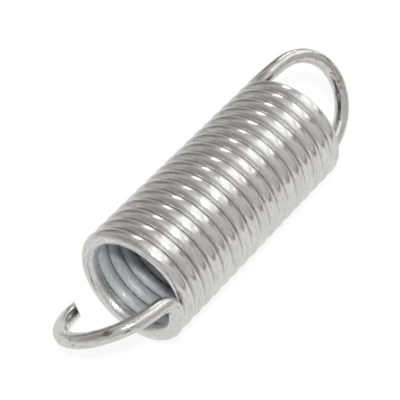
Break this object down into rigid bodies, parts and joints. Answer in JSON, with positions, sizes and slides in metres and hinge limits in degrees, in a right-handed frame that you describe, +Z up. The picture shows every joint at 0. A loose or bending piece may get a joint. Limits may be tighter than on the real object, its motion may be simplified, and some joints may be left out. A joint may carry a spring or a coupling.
{
  "type": "seat tension spring",
  "caption": "Close-wound tension spring of round zinc-plated steel wire with an open hook at each end, for hanging a seat platform in its frame.",
  "frame": {"origin": "on the surface under the middle of the coil, as the spring lies on its side", "axes": "+X along the coil's axis, +Z up, the two hooks alike half a turn apart about Z"},
  "size_m": [0.1176, 0.033, 0.033],
  "materials": {
    "zinc_plated_wire": "bright zinc plated drawn wire, smooth, with faint drawing lines and cloudy plating"
  },
  "bodies": {
    "root": {"spring_wire": "zinc_plated_wire"}
  },
  "joints": []
}
